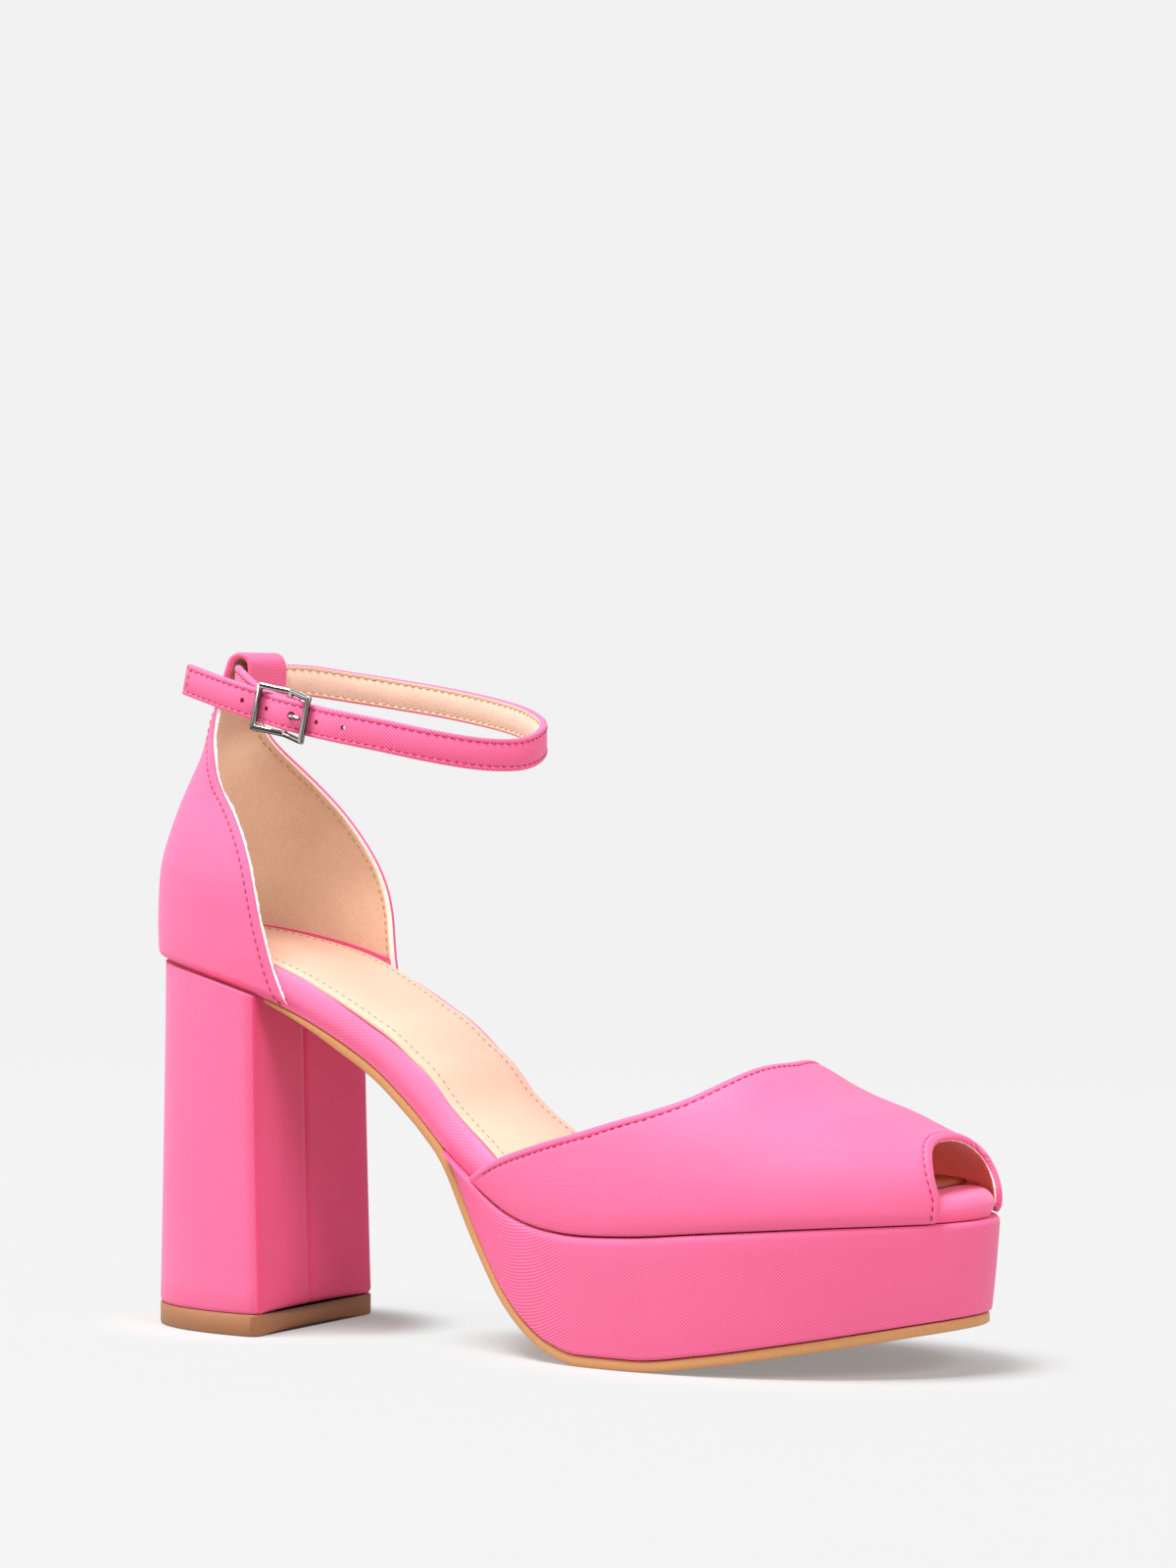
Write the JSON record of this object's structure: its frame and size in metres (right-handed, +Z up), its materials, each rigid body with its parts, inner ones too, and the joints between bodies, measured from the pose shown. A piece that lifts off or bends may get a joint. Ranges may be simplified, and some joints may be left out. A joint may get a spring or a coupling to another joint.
{
  "type": "peep toe pump",
  "caption": "Ankle-strap peep toe pump with an open waist, a fabric-covered platform and a high block heel, one right shoe.",
  "frame": {"origin": "on the floor, at the middle of the forefoot's flat tread, on the shoe's middle line", "axes": "+X from the heel to the toe, +Y to the inner side of the foot, +Z up"},
  "size_m": [0.2313, 0.0824, 0.1715],
  "materials": {
    "pink_twill": "fine cotton twill",
    "pink_wrap": "fine twill wrapped over an insole board",
    "insock": "smooth pale lining leather",
    "sole_tan": "satin tan sole unit",
    "nickel": "polished nickel plate"
  },
  "bodies": {
    "root": {"outsole": "sole_tan", "platform": "pink_twill", "footbed": "pink_wrap", "insock": "insock", "heel_block": "pink_twill", "heel_top_piece": "sole_tan", "vamp": "pink_twill", "quarter": "pink_twill", "ankle_strap": "pink_twill", "buckle_frame": "nickel", "buckle_prong": "nickel"}
  },
  "joints": []
}
